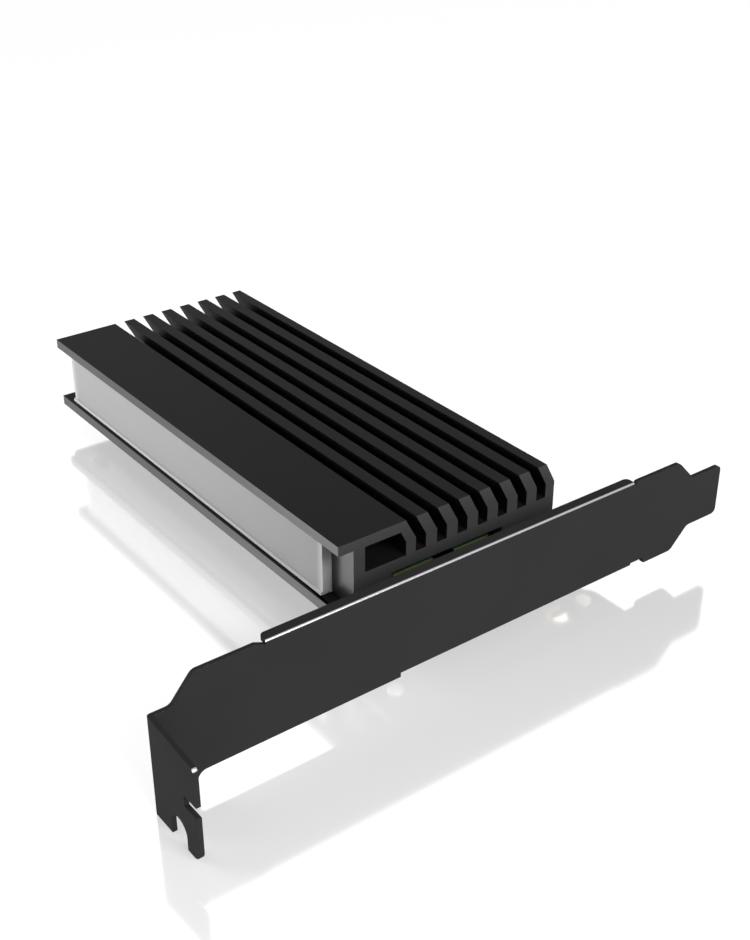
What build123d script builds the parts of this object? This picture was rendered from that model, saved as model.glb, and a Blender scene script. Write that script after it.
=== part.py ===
from build123d import *
import os

# An adapter card that carries a solid-state module under a finned heatsink.
# Sizes are in millimetres. +X is the way the card is pushed into its socket,
# +Y runs back from the mounting bracket, +Z rises from the component side.
# The origin is the middle of the contact edge's key, on the edge's tip line
# and half-way through the board.

# Board
board_thickness = 1.57
board_width = 47.4
board_length = 117.8
board_corner = 0.8
board_setback = 0.7
wing_reach = 5.6
wing_length = 12.5
ear_reach = 6.84
ear_width = 6.6
ear_gap = 5.15

# Contact tongue
tongue_length = 12.5
front_tongue_width = 11.65
rear_tongue_width = 21.65
key_width = 1.9
key_depth = 7.8
tip_bevel = 0.35
contact_pitch = 1.0
contact_width = 0.7
contact_length = 4.6
contact_inset = 0.4
contact_from_key = 1.5
contact_margin = 0.7

# Plated holes
plating = 0.05
slot_length = 6.4
slot_width = 2.1
slot_land = 0.53
slot_side_inset = 2.2
slot_from_end = 8.45
bracket_hole = 3.6
bracket_slot_length = 9.5
bracket_land = 0.8

# Light diodes
led_count = 6
led_pitch = 10.44
led_rear_inset = 24.6
led_side_inset = 1.5
led_width = 0.8
led_length = 1.2
led_height = 0.5

# Coupling capacitors beside the module
capacitor_count = 6
capacitor_pitch = 0.95
capacitor_length = 1.2
capacitor_width = 0.6
capacitor_height = 0.5
capacitor_gap = 0.3
capacitor_rear_inset = 29.7

# Module
module_length = 80.0
module_width = 22.0
module_thickness = 0.8
module_tongue_margin = 1.07
module_tongue_length = 4.0
module_key_from_side = 5.29
module_key_width = 1.28
module_key_depth = 3.5
module_notch_radius = 1.75
module_side_notch_radius = 0.5
module_side_notch_from_front = 14.0
module_contact_pitch = 0.5
module_contact_width = 0.34
module_contact_length = 2.0
module_contact_inset = 0.3
module_contact_thickness = 0.02

# Chips and small parts on the module
chip_height = 1.5
chip_margin_left = 1.6
chip_margin_right = 2.3
chip_bevel = 0.12
front_chip_from_front = 4.55
front_chip_length = 13.95
cache_chip_from_front = 31.4
cache_chip_length = 10.0
middle_chip_from_front = 43.5
middle_chip_length = 13.9
rear_chip_from_front = 60.5
rear_chip_length = 15.0
passive_rows = 4
passive_columns = 5
passive_row_pitch = 2.3
passive_column_pitch = 1.7
passive_length = 1.0
passive_width = 0.55
passive_height = 0.5
passive_from_side = 7.5

# Module socket
socket_rear_inset = 18.7
socket_depth = 5.0
socket_width = 21.6
socket_height = 3.3
socket_clearance = 0.06
module_insertion = 2.6
spring_pitch = 0.75
spring_width = 0.35
spring_thickness = 0.16
spring_reach = 3.2
spring_foot_length = 1.25

# Standoff and the module's screw
standoff_radius = 2.2
standoff_neck_radius = 1.6
module_screw_radius = 0.95
module_screw_length = 2.8
module_screw_head_radius = 2.27
module_screw_head_height = 0.75
screw_clearance = 0.05

# Thermal pads, and the gold field under the lower one
pad_thickness = 1.5
pad_width = 18.5
pad_from_standoff = 1.1
pad_to_springs = 0.9
field_width = 20.7
field_from_standoff = 0.1
field_to_springs = 3.2
field_offset = 0.15

# Heatsink section
heatsink_front_gap = 5.55
heatsink_rear_setback = 0.65
heatsink_height = 14.7
heatsink_overhang = 0.05
hook_thickness = 0.95
hook_drop = 0.7
hook_clearance = 0.1
channel_depth = 3.1
channel_roof = 1.95
channel_lip = 1.35
duct_left = 5.45
duct_width = 8.7
duct_roof = 2.05
duct_height = 4.95
duct_bevel_width = 1.15
duct_bevel_height = 2.3
fin_pitch = 4.65
fin_slot_width = 2.18
fin_slot_depth = 6.95
fin_bend_depth = 4.2
fin_lean = 2.24
duct_wall = 2.13
last_fin_width = 2.0
cavity_left_clearance = 2.69
cavity_right_clearance = 0.25
left_step_width = 3.41
left_step_height = 3.0
right_step_width = 3.8
right_step_height = 2.9
light_window_length = 3.0
light_window_width = 1.0
thread_run_out = 0.4

# Light bar
bar_thickness = 2.0
bar_front_inset = 6.3
bar_rear_inset = 3.9
bar_foot_height = 0.7
bar_foot_reach = 0.4

# Heatsink screws
heatsink_screw_radius = 1.0
heatsink_screw_head_radius = 1.9
heatsink_screw_head_height = 1.3
heatsink_screw_tip_gap = 0.12

# Bracket
bracket_to_key = 57.15
bracket_length = 120.02
bracket_width = 18.42
bracket_thickness = 0.8
bracket_tail = 15.3
bracket_rise = 15.52
bend_radius = 0.15
fold_radius = 0.6
bracket_screw_setback = 6.8
left_screw_inset = 4.5
right_screw_outset = 1.4

# Bracket's tail, measured from its tip and from the top edge
tail_tongue_length = 7.7
tail_tongue_drop = 4.2
tail_tongue_width = 10.2
tail_corner = 1.1
tail_shoulder = 11.7
tail_heel = 19.0
heel_step = 1.2
heel_corner = 0.5
outline_corner = 1.5

# Folded lip along the bracket's top, measured from its tail and its head
lip_from_tail = 23.2
lip_from_head = 19.9
lip_depth = 2.1
lip_corner = 0.9
lip_relief_width = 1.7
lip_relief_depth = 0.75
lip_relief_corner = 0.5

# Bracket's head: the shoulder, the neck and the folded screw tab
head_drop = 4.6
head_flat = 3.8
head_shoulder = 7.7
neck_width = 7.1
neck_fillet = 1.6
tab_reach = 12.2
tab_drop = 22.8
tab_top_fall = 1.1
tab_top_corner = 1.0
tab_bottom_corner = 1.8
tab_notch_radius = 2.2
tab_notch_reach = 6.6
tab_notch_top = 18.3
tab_window_top = 12.5
tab_window_bottom = 14.5
tab_window_depth = 3.4

# Flange under the board
flange_depth = 3.4
lug_radius = 4.2
lug_fillet = 1.2

# Bracket screws
bracket_screw_radius = 1.45
bracket_screw_head_radius = 2.8
bracket_screw_head_height = 1.7
bracket_screw_tip = 1.0

# Bevel round each screw's head
head_bevel = 0.3

# Board and bracket places
board_left = -tongue_length - board_width
board_right = -tongue_length
board_top = board_thickness / 2
board_bottom = -board_thickness / 2
land_top = board_top + plating
land_bottom = board_bottom - plating
bracket_outer = -bracket_to_key
bracket_inner = bracket_outer + bracket_thickness
board_front = bracket_inner + board_setback
board_back = board_front + board_length
board_middle = (board_left + board_right) / 2
wing_right = board_right + wing_reach
wing_back = board_front + wing_length
tongue_front = -key_width / 2 - front_tongue_width
tongue_back = key_width / 2 + rear_tongue_width
ear_back = tongue_front - ear_gap
ear_front = ear_back - ear_width
ear_right = board_right + ear_reach
slot_spread = board_width - 2 * slot_side_inset
screw_line = bracket_outer + bracket_screw_setback
heatsink_front = screw_line + bracket_screw_head_radius + heatsink_front_gap
heatsink_back = board_back - heatsink_rear_setback
heatsink_length = heatsink_back - heatsink_front
slot_middle = (heatsink_front + heatsink_back) / 2
slot_spread_back = heatsink_length - 2 * slot_from_end
left_screw_x = board_left + left_screw_inset
right_screw_x = board_right + right_screw_outset
bracket_slot_x = right_screw_x - (bracket_slot_length - bracket_hole) / 2

# Module stack: field, pad, module, chips, pad, then the heatsink's underside
module_bottom = land_top + pad_thickness
module_top = module_bottom + module_thickness
chip_top = module_top + chip_height
upper_pad_top = chip_top + pad_thickness

# Module, socket and pad places
socket_back = board_back - socket_rear_inset
socket_front = socket_back - socket_depth
module_back = socket_front + module_insertion
module_shoulder = module_back - module_tongue_length
module_front = module_back - module_length
module_left = board_middle - module_width / 2
module_right = board_middle + module_width / 2
module_tongue_width = module_width - 2 * module_tongue_margin
key_middle = module_left + module_key_from_side
key_keep_out = (module_key_width + module_contact_width) / 2
module_contact_count = int((module_tongue_width - module_contact_width) / module_contact_pitch) + 1
chip_width = module_width - chip_margin_left - chip_margin_right
passive_middle = module_front + (front_chip_from_front + front_chip_length + cache_chip_from_front) / 2
socket_slot_low = module_bottom - socket_clearance
socket_slot_high = module_top + socket_clearance
socket_slot_left = board_middle - module_tongue_width / 2 - socket_clearance
socket_slot_right = board_middle + module_tongue_width / 2 + socket_clearance
rib_half = module_key_width / 2 - socket_clearance
spring_count = int((module_tongue_width - spring_width) / spring_pitch) + 1
spring_front = socket_front - spring_reach
spring_foot_height = board_top + spring_thickness / 2
spring_shoulder_height = (board_top + module_bottom) / 2
field_front = module_front + standoff_radius + field_from_standoff
field_length = spring_front - field_to_springs - field_front
pad_front = module_front + standoff_radius + pad_from_standoff
pad_length = spring_front - pad_to_springs - pad_front
capacitor_back = board_back - capacitor_rear_inset
led_x = board_left + led_side_inset
led_middle = board_back - led_rear_inset - led_pitch * (led_count - 1) / 2

# Heatsink places
heatsink_left = board_left - hook_clearance - hook_thickness
heatsink_right = board_right + heatsink_overhang
heatsink_top = land_top + heatsink_height
cavity_left = module_left - cavity_left_clearance
cavity_right = module_right + cavity_right_clearance
channel_back = heatsink_left + channel_depth
channel_top = heatsink_top - channel_roof
channel_bottom = land_top + channel_lip
duct_top = heatsink_top - duct_roof
first_slot_left = heatsink_left + duct_left + duct_width + duct_wall
fin_room = heatsink_right - last_fin_width - fin_slot_width - first_slot_left
fin_slot_count = int(fin_room / fin_pitch) + 1
heatsink_thread = channel_lip - heatsink_screw_tip_gap

# Folds of the bracket
bracket_right = bracket_tail
bracket_left = bracket_right - bracket_length
bracket_top = board_top + bracket_rise
bracket_bottom = bracket_top - bracket_width
flange_top = land_bottom
flange_bottom = flange_top - bracket_thickness
flange_left = left_screw_x - lug_radius
flange_right = right_screw_x + lug_radius
flange_back = bracket_outer + flange_depth
lip_left = bracket_left + lip_from_head
lip_right = bracket_right - lip_from_tail


def rectangle_between(low, high, mode=Mode.ADD):
    """Draw a rectangle in the current sketch from two opposite corners."""
    with Locations(((low[0] + high[0]) / 2, (low[1] + high[1]) / 2)):
        Rectangle(high[0] - low[0], high[1] - low[1], mode=mode)


def plated_holes(slot_growth, bracket_growth, mode=Mode.ADD):
    """Draw the board's plated holes in the current sketch, grown all round."""
    with Locations((board_middle, slot_middle)):
        with GridLocations(slot_spread, slot_spread_back, 2, 2):
            SlotOverall(slot_length + 2 * slot_growth, slot_width + 2 * slot_growth, rotation=90, mode=mode)
    with Locations((bracket_slot_x, screw_line)):
        SlotOverall(bracket_slot_length + 2 * bracket_growth, bracket_hole + 2 * bracket_growth, mode=mode)
    with Locations((left_screw_x, screw_line)):
        Circle(bracket_hole / 2 + bracket_growth, mode=mode)


def contact_rows():
    """Draw both rows of the tongue's contacts in the current sketch, from the key outwards."""
    for side, span in ((-1, front_tongue_width), (1, rear_tongue_width)):
        room = span + key_width / 2 - contact_from_key - contact_margin
        for column in range(int(room / contact_pitch) + 1):
            with Locations((-contact_inset, side * (contact_from_key + column * contact_pitch))):
                Rectangle(contact_length, contact_width, align=(Align.MAX, Align.CENTER))


def led_places(width, length):
    """Draw a rectangle in the current sketch at each light diode."""
    with Locations((led_x, led_middle)):
        with GridLocations(led_pitch, led_pitch, 1, led_count):
            Rectangle(width, length)


os.makedirs("parts", exist_ok=True)

# The board: main panel, screw wing, retention ear and contact tongue
with BuildPart() as main_board:
    with BuildSketch(Plane.XY.offset(board_bottom)) as board_outline:
        rectangle_between((board_left, board_front), (board_right, board_back))
        rectangle_between((board_right, board_front), (wing_right, wing_back))
        rectangle_between((board_right, ear_front), (ear_right, ear_back))
        rectangle_between((board_right, tongue_front), (0, tongue_back))
        fillet(board_outline.vertices(), radius=board_corner)
        with Locations((-key_depth + key_width / 2, 0)):
            Circle(key_width / 2, mode=Mode.SUBTRACT)
        rectangle_between(
            (-key_depth + key_width / 2, -key_width / 2), (key_width, key_width / 2), mode=Mode.SUBTRACT
        )
        plated_holes(plating, plating, mode=Mode.SUBTRACT)
        with Locations((board_middle, module_front)):
            Circle(standoff_neck_radius, mode=Mode.SUBTRACT)
    extrude(amount=board_thickness)
    tip_edges = main_board.edges().filter_by(Axis.Y).group_by(Axis.X)[-1]
    chamfer(tip_edges, length=tip_bevel)
main_board.part.label = "main_board"
export_step(main_board.part, "parts/main_board.step")

# Gold contacts on each face of the tongue, in a short and a long row
with BuildPart() as board_contacts_top:
    with BuildSketch(Plane.XY.offset(board_top)):
        contact_rows()
    extrude(amount=plating)
board_contacts_top.part.label = "board_contacts_top"
export_step(board_contacts_top.part, "parts/board_contacts_top.step")

with BuildPart() as board_contacts_bottom:
    with BuildSketch(Plane.XY.offset(land_bottom)):
        contact_rows()
    extrude(amount=plating)
board_contacts_bottom.part.label = "board_contacts_bottom"
export_step(board_contacts_bottom.part, "parts/board_contacts_bottom.step")

# Plating: a land on each face of the board round a thin barrel through it
with BuildPart() as slot_platings:
    with BuildSketch(Plane.XY.offset(land_bottom)):
        plated_holes(slot_land, bracket_land)
    extrude(amount=board_thickness + 2 * plating)
    with BuildSketch(Plane.XY.offset(board_bottom)):
        plated_holes(slot_land + plating, bracket_land + plating)
        plated_holes(plating, plating, mode=Mode.SUBTRACT)
    extrude(amount=board_thickness, mode=Mode.SUBTRACT)
    with BuildSketch(Plane.XY.offset(land_bottom)):
        plated_holes(0, 0)
    extrude(amount=board_thickness + 2 * plating, mode=Mode.SUBTRACT)
slot_platings.part.label = "slot_platings"
export_step(slot_platings.part, "parts/slot_platings.step")

# Gold field that spreads the module's heat into the board
with BuildPart() as thermal_field:
    with BuildSketch(Plane.XY.offset(board_top)):
        with Locations((board_middle + field_offset, field_front)):
            Rectangle(field_width, field_length, align=(Align.CENTER, Align.MIN))
    extrude(amount=plating)
thermal_field.part.label = "thermal_field"
export_step(thermal_field.part, "parts/thermal_field.step")

# Light diodes under the windows of the heatsink's lip
with BuildPart() as light_leds:
    with BuildSketch(Plane.XY.offset(board_top)):
        led_places(led_width, led_length)
    extrude(amount=led_height)
light_leds.part.label = "light_leds"
export_step(light_leds.part, "parts/light_leds.step")

# Coupling capacitors in a row beside the module
with BuildPart() as coupling_capacitors:
    with BuildSketch(Plane.XY.offset(board_top)):
        for row in range(capacitor_count):
            with Locations((module_left - capacitor_gap, capacitor_back - row * capacitor_pitch)):
                Rectangle(capacitor_length, capacitor_width, align=(Align.MAX, Align.MAX))
    extrude(amount=capacitor_height)
coupling_capacitors.part.label = "coupling_capacitors"
export_step(coupling_capacitors.part, "parts/coupling_capacitors.step")

# Module socket: a moulded bar with a card slot and a rib that fits the module's key
with BuildPart() as m2_socket:
    with BuildSketch(Plane.XY.offset(board_top)):
        rectangle_between(
            (board_middle - socket_width / 2, socket_front), (board_middle + socket_width / 2, socket_back)
        )
    extrude(amount=socket_height)
    with BuildSketch(Plane.XZ.offset(-socket_front)):
        rectangle_between((socket_slot_left, socket_slot_low), (key_middle - rib_half, socket_slot_high))
        rectangle_between((key_middle + rib_half, socket_slot_low), (socket_slot_right, socket_slot_high))
    extrude(amount=-module_insertion - socket_clearance, mode=Mode.SUBTRACT)
m2_socket.part.label = "m2_socket"
export_step(m2_socket.part, "parts/m2_socket.step")

# Spring contacts that leave the socket's front and are soldered to the board
with BuildPart() as m2_socket_contacts:
    for column in range(spring_count):
        spring_x = board_middle + (column - (spring_count - 1) / 2) * spring_pitch
        with BuildSketch(Plane.YZ.offset(spring_x - spring_width / 2)):
            with BuildLine():
                Polyline(
                    (spring_front, spring_foot_height),
                    (spring_front + spring_foot_length, spring_foot_height),
                    (socket_front - spring_foot_length, spring_shoulder_height),
                    (socket_front, spring_shoulder_height),
                )
            trace(line_width=spring_thickness)
        extrude(amount=spring_width)
m2_socket_contacts.part.label = "m2_socket_contacts"
export_step(m2_socket_contacts.part, "parts/m2_socket_contacts.step")

# Standoff under the module's free end, with a neck pressed through the board
with BuildPart() as m2_standoff:
    with BuildSketch(Plane.XY.offset(board_bottom)):
        with Locations((board_middle, module_front)):
            Circle(standoff_neck_radius)
    extrude(amount=board_thickness)
    with BuildSketch(Plane.XY.offset(board_top)):
        with Locations((board_middle, module_front)):
            Circle(standoff_radius)
    extrude(amount=module_bottom - board_top)
    with Locations((board_middle, module_front, module_bottom)):
        Hole(module_screw_radius + screw_clearance)
m2_standoff.part.label = "m2_standoff"
export_step(m2_standoff.part, "parts/m2_standoff.step")

# Screw that holds the module's free end
with BuildPart() as m2_screw:
    with BuildSketch(Plane.XY.offset(module_top - module_screw_length)):
        with Locations((board_middle, module_front)):
            Circle(module_screw_radius)
    extrude(amount=module_screw_length)
    with BuildSketch(Plane.XY.offset(module_top)):
        with Locations((board_middle, module_front)):
            Circle(module_screw_head_radius)
    extrude(amount=module_screw_head_height)
    chamfer(m2_screw.faces().sort_by(Axis.Z)[-1].edges(), length=head_bevel)
m2_screw.part.label = "m2_screw"
export_step(m2_screw.part, "parts/m2_screw.step")

# Thermal pads below and above the module
with BuildPart() as lower_thermal_pad:
    with BuildSketch(Plane.XY.offset(land_top)):
        with Locations((board_middle, pad_front)):
            Rectangle(pad_width, pad_length, align=(Align.CENTER, Align.MIN))
    extrude(amount=pad_thickness)
lower_thermal_pad.part.label = "lower_thermal_pad"
export_step(lower_thermal_pad.part, "parts/lower_thermal_pad.step")

with BuildPart() as upper_thermal_pad:
    with BuildSketch(Plane.XY.offset(chip_top)):
        with Locations((board_middle, pad_front)):
            Rectangle(pad_width, pad_length, align=(Align.CENTER, Align.MIN))
    extrude(amount=pad_thickness)
upper_thermal_pad.part.label = "upper_thermal_pad"
export_step(upper_thermal_pad.part, "parts/upper_thermal_pad.step")

# The module's own board, with its keyed tongue and the half-round screw notch
with BuildPart() as module_board:
    with BuildSketch(Plane.XY.offset(module_bottom)):
        rectangle_between((module_left, module_front), (module_right, module_shoulder))
        with Locations((board_middle, module_shoulder)):
            Rectangle(module_tongue_width, module_tongue_length, align=(Align.CENTER, Align.MIN))
        with Locations((key_middle, module_back)):
            Rectangle(
                module_key_width, module_key_depth, align=(Align.CENTER, Align.MAX), mode=Mode.SUBTRACT
            )
        with Locations((board_middle, module_front)):
            Circle(module_notch_radius, mode=Mode.SUBTRACT)
        with Locations((module_left, module_front + module_side_notch_from_front)):
            Circle(module_side_notch_radius, mode=Mode.SUBTRACT)
    extrude(amount=module_thickness)
module_board.part.label = "module_board"
export_step(module_board.part, "parts/module_board.step")

# Contacts on both faces of the module's tongue, with a gap at its key
with BuildPart() as module_contacts:
    for level in (module_bottom - module_contact_thickness, module_top):
        with BuildSketch(Plane.XY.offset(level)):
            for column in range(module_contact_count):
                contact_x = board_middle + (column - (module_contact_count - 1) / 2) * module_contact_pitch
                if abs(contact_x - key_middle) > key_keep_out:
                    with Locations((contact_x, module_back - module_contact_inset)):
                        Rectangle(
                            module_contact_width, module_contact_length, align=(Align.CENTER, Align.MAX)
                        )
        extrude(amount=module_contact_thickness)
module_contacts.part.label = "module_contacts"
export_step(module_contacts.part, "parts/module_contacts.step")

# Chips on the module, each a moulded block with a bevelled top
chips = (
    ("front_memory_chip", front_chip_from_front, front_chip_length),
    ("cache_chip", cache_chip_from_front, cache_chip_length),
    ("rear_memory_chip", middle_chip_from_front, middle_chip_length),
    ("controller_chip", rear_chip_from_front, rear_chip_length),
)
for chip_name, chip_start, chip_length in chips:
    with BuildPart() as chip:
        with BuildSketch(Plane.XY.offset(module_top)):
            with Locations((module_left + chip_margin_left, module_front + chip_start)):
                Rectangle(chip_width, chip_length, align=(Align.MIN, Align.MIN))
        extrude(amount=chip_height)
        chamfer(chip.faces().sort_by(Axis.Z)[-1].edges(), length=chip_bevel)
    chip.part.label = chip_name
    export_step(chip.part, f"parts/{chip_name}.step")

# Small parts between the module's front chip and its cache chip
with BuildPart() as module_passives:
    with BuildSketch(Plane.XY.offset(module_top)):
        with Locations((module_left + passive_from_side, passive_middle)):
            with GridLocations(passive_column_pitch, passive_row_pitch, passive_columns, passive_rows):
                Rectangle(passive_length, passive_width)
    extrude(amount=passive_height)
module_passives.part.label = "module_passives"
export_step(module_passives.part, "parts/module_passives.step")

# Heatsink: an extruded section with a duct, leaning fins, a light channel and two feet
with BuildPart() as heatsink:
    with BuildSketch(Plane.XZ.offset(-heatsink_front)):
        with BuildLine():
            Polyline(
                (heatsink_left, heatsink_top),
                (heatsink_right - fin_lean, heatsink_top),
                (heatsink_right, heatsink_top - fin_bend_depth),
                (heatsink_right, land_top),
                (cavity_right + right_step_width, land_top),
                (cavity_right + right_step_width, land_top + right_step_height),
                (cavity_right, land_top + right_step_height),
                (cavity_right, upper_pad_top),
                (cavity_left, upper_pad_top),
                (cavity_left, land_top + left_step_height),
                (cavity_left - left_step_width, land_top + left_step_height),
                (cavity_left - left_step_width, land_top),
                (heatsink_left + hook_thickness, land_top),
                (heatsink_left + hook_thickness, land_top - hook_drop),
                (heatsink_left, land_top - hook_drop),
                (heatsink_left, channel_bottom),
                (channel_back, channel_bottom),
                (channel_back, channel_top),
                (heatsink_left, channel_top),
                close=True,
            )
        make_face()
        for slot in range(fin_slot_count):
            slot_left = first_slot_left + slot * fin_pitch
            slot_right = slot_left + fin_slot_width
            with BuildLine():
                Polyline(
                    (slot_left - fin_lean, heatsink_top),
                    (slot_right - fin_lean, heatsink_top),
                    (slot_right, heatsink_top - fin_bend_depth),
                    (slot_right, heatsink_top - fin_slot_depth),
                    (slot_left, heatsink_top - fin_slot_depth),
                    (slot_left, heatsink_top - fin_bend_depth),
                    close=True,
                )
            make_face(mode=Mode.SUBTRACT)
        with BuildLine():
            Polyline(
                (heatsink_left + duct_left, duct_top),
                (heatsink_left + duct_left + duct_width - duct_bevel_width, duct_top),
                (heatsink_left + duct_left + duct_width, duct_top - duct_bevel_height),
                (heatsink_left + duct_left + duct_width, duct_top - duct_height),
                (heatsink_left + duct_left, duct_top - duct_height),
                close=True,
            )
        make_face(mode=Mode.SUBTRACT)
    extrude(amount=-heatsink_length)
    with BuildSketch(Plane.XY.offset(land_top)):
        with Locations((board_middle, slot_middle)):
            with GridLocations(slot_spread, slot_spread_back, 2, 2):
                Circle(heatsink_screw_radius + screw_clearance)
    extrude(amount=channel_lip + thread_run_out, mode=Mode.SUBTRACT)
    with BuildSketch(Plane.XY.offset(land_top)):
        led_places(light_window_width, light_window_length)
    extrude(amount=channel_lip + thread_run_out, mode=Mode.SUBTRACT)
heatsink.part.label = "heatsink"
export_step(heatsink.part, "parts/heatsink.step")

# Light bar: a clear strip that fills the channel's height, with a foot along its lower edge
with BuildPart() as light_bar:
    with BuildSketch(Plane.XZ.offset(-heatsink_front - bar_front_inset)):
        rectangle_between((channel_back - bar_thickness, channel_bottom), (channel_back, channel_top))
        rectangle_between(
            (channel_back - bar_thickness - bar_foot_reach, channel_bottom),
            (channel_back, channel_bottom + bar_foot_height),
        )
    extrude(amount=bar_front_inset + bar_rear_inset - heatsink_length)
light_bar.part.label = "light_bar"
export_step(light_bar.part, "parts/light_bar.step")

# Screws that hold the heatsink from below, through the board's long slots
with BuildPart() as heatsink_screws:
    with BuildSketch(Plane.XY.offset(land_bottom)):
        with Locations((board_middle, slot_middle)):
            with GridLocations(slot_spread, slot_spread_back, 2, 2):
                Circle(heatsink_screw_head_radius)
    extrude(amount=-heatsink_screw_head_height)
    chamfer(heatsink_screws.faces().group_by(Axis.Z)[0].edges(), length=head_bevel)
    with BuildSketch(Plane.XY.offset(land_bottom)):
        with Locations((board_middle, slot_middle)):
            with GridLocations(slot_spread, slot_spread_back, 2, 2):
                Circle(heatsink_screw_radius)
    extrude(amount=land_top - land_bottom + heatsink_thread)
heatsink_screws.part.label = "heatsink_screws"
export_step(heatsink_screws.part, "parts/heatsink_screws.step")

# Bracket: one folded sheet, cut to its outline while it is still flat
with BuildPart() as bracket:
    with BuildSketch(Plane.XY.offset(bracket_top - tab_drop)):
        with BuildLine():
            FilletPolyline(
                (bracket_right, bracket_outer),
                (bracket_right, bracket_inner),
                (bracket_left, bracket_inner),
                (bracket_left, bracket_outer - tab_reach),
                (bracket_left + bracket_thickness, bracket_outer - tab_reach),
                (bracket_left + bracket_thickness, bracket_outer),
                radius=(0, 0, fold_radius, 0, 0, bend_radius),
                close=True,
            )
        make_face()
    extrude(amount=tab_drop)
    with BuildSketch(Plane.XZ.offset(-bracket_outer)):
        with BuildLine():
            FilletPolyline(
                (bracket_left, bracket_top - head_drop),
                (bracket_left + head_flat, bracket_top - head_drop),
                (bracket_left + head_shoulder, bracket_top),
                (lip_left - lip_relief_width, bracket_top),
                (lip_left, bracket_top - lip_relief_depth),
                (lip_right, bracket_top - lip_relief_depth),
                (lip_right + lip_relief_depth, bracket_top),
                (bracket_right - tail_shoulder, bracket_top),
                (bracket_right - tail_tongue_length, bracket_top - tail_tongue_drop),
                (bracket_right, bracket_top - tail_tongue_drop),
                (bracket_right, bracket_top - tail_tongue_drop - tail_tongue_width),
                (bracket_right - tail_tongue_length, bracket_top - tail_tongue_drop - tail_tongue_width),
                (bracket_right - tail_shoulder, bracket_bottom),
                (bracket_right - tail_heel, bracket_bottom),
                (bracket_right - tail_heel, bracket_bottom + heel_step),
                (flange_right, bracket_bottom + heel_step),
                (flange_right, flange_bottom + fold_radius),
                (flange_left, flange_bottom + fold_radius),
                (flange_left, bracket_bottom),
                (bracket_left + neck_width, bracket_bottom),
                (bracket_left + neck_width, bracket_top - tab_drop),
                (bracket_left, bracket_top - tab_drop),
                radius=(
                    *(0, outline_corner, outline_corner, lip_relief_corner, 0),
                    *(0, lip_relief_corner, outline_corner, 0, tail_corner, tail_corner),
                    *(outline_corner, outline_corner, heel_corner, 0, 0, 0),
                    *(0, 0, neck_fillet, 0, 0),
                ),
                close=True,
            )
        make_face()
    extrude(amount=2 * tab_reach, both=True, mode=Mode.INTERSECT)
    # The screw tab's notch, side notch, falling top edge and round corners
    with BuildSketch(Plane.YZ.offset(bracket_left)):
        with BuildLine():
            Polyline(
                (bracket_outer, bracket_top - head_drop),
                (bracket_outer - tab_reach, bracket_top - head_drop - tab_top_fall),
                (bracket_outer - tab_reach, bracket_top - head_drop),
                close=True,
            )
        make_face()
        with Locations((bracket_outer - tab_notch_reach, bracket_top - tab_notch_top - tab_notch_radius)):
            Circle(tab_notch_radius)
            Rectangle(2 * tab_notch_radius, tab_drop, align=(Align.CENTER, Align.MAX))
        rectangle_between(
            (bracket_outer - tab_reach, bracket_top - tab_window_bottom),
            (bracket_outer - tab_reach + tab_window_depth, bracket_top - tab_window_top),
        )
    extrude(amount=bracket_thickness, mode=Mode.SUBTRACT)
    free_corners = bracket.edges().filter_by(Axis.X).group_by(Axis.Y)[0].sort_by(Axis.Z)
    fillet(free_corners[0], radius=tab_bottom_corner)
    free_corners = bracket.edges().filter_by(Axis.X).group_by(Axis.Y)[0].sort_by(Axis.Z)
    fillet(free_corners[-1], radius=tab_top_corner)
    # The short lip folded back along the top
    with BuildSketch(Plane.YZ.offset(lip_left)):
        with BuildLine():
            FilletPolyline(
                (bracket_outer, bracket_top - 2 * fold_radius),
                (bracket_outer, bracket_top),
                (bracket_outer + lip_depth, bracket_top),
                (bracket_outer + lip_depth, bracket_top - bracket_thickness),
                (bracket_inner, bracket_top - bracket_thickness),
                (bracket_inner, bracket_top - 2 * fold_radius),
                radius=(0, fold_radius, 0, 0, bend_radius, 0),
                close=True,
            )
        make_face()
    extrude(amount=lip_right - lip_left)
    fillet(bracket.edges().filter_by(Axis.Z).group_by(Axis.Y)[-1], radius=lip_corner)
    # The flange folded back under the board, with a lug at each screw
    with BuildSketch(Plane.YZ.offset(flange_left)):
        with BuildLine():
            FilletPolyline(
                (bracket_outer, flange_bottom + 2 * fold_radius),
                (bracket_outer, flange_bottom),
                (flange_back, flange_bottom),
                (flange_back, flange_top),
                (bracket_inner, flange_top),
                (bracket_inner, flange_bottom + 2 * fold_radius),
                radius=(0, fold_radius, 0, 0, bend_radius, 0),
                close=True,
            )
        make_face()
    extrude(amount=flange_right - flange_left)
    with BuildSketch(Plane.XY.offset(flange_bottom)) as lugs:
        rectangle_between((flange_left, bracket_inner + fold_radius), (flange_right, flange_back))
        with Locations((left_screw_x, screw_line), (right_screw_x, screw_line)):
            Rectangle(2 * lug_radius, screw_line - flange_back, align=(Align.CENTER, Align.MAX))
            Circle(lug_radius)
        between_lugs = lugs.vertices().filter_by_position(Axis.X, left_screw_x, right_screw_x)
        fillet(between_lugs.group_by(Axis.Y)[0], radius=lug_fillet)
        with Locations((left_screw_x, screw_line), (right_screw_x, screw_line)):
            Circle(bracket_screw_radius + screw_clearance, mode=Mode.SUBTRACT)
    extrude(amount=bracket_thickness)
bracket.part.label = "bracket"
export_step(bracket.part, "parts/bracket.step")

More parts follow.
